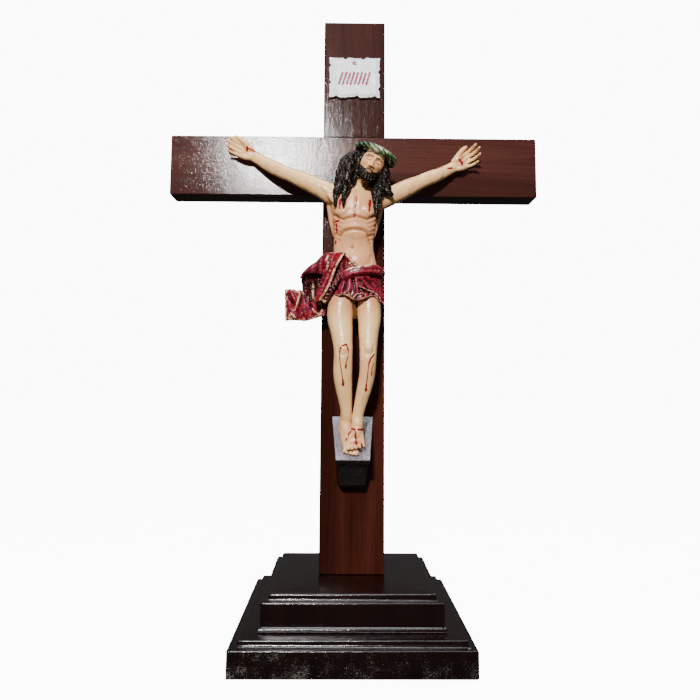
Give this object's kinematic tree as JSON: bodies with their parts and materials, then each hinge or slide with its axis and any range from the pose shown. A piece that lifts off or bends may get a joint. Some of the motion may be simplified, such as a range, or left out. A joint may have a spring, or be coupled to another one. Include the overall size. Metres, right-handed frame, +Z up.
{
  "type": "altar crucifix",
  "caption": "Standing altar crucifix: stepped moulded base, half-lapped wooden cross, painted cast corpus on a sloping footrest, title plate.",
  "frame": {"origin": "centre of the underside of the base, on the floor", "axes": "+Z up along the upright, +X towards the viewer's right along the beam, the figure faces -Y"},
  "size_m": [0.297, 0.165, 0.49],
  "materials": {
    "dark_stained_wood": "gloss",
    "varnished_wood": "gloss",
    "painted_resin": "gloss",
    "pale_resin": "satin"
  },
  "bodies": {
    "root": {"base_lower_tier": "dark_stained_wood", "base_upper_tier": "dark_stained_wood", "cross_upright": "varnished_wood", "cross_beam": "varnished_wood", "footrest": "dark_stained_wood", "corpus": "painted_resin", "title_plaque": "pale_resin"}
  },
  "joints": []
}
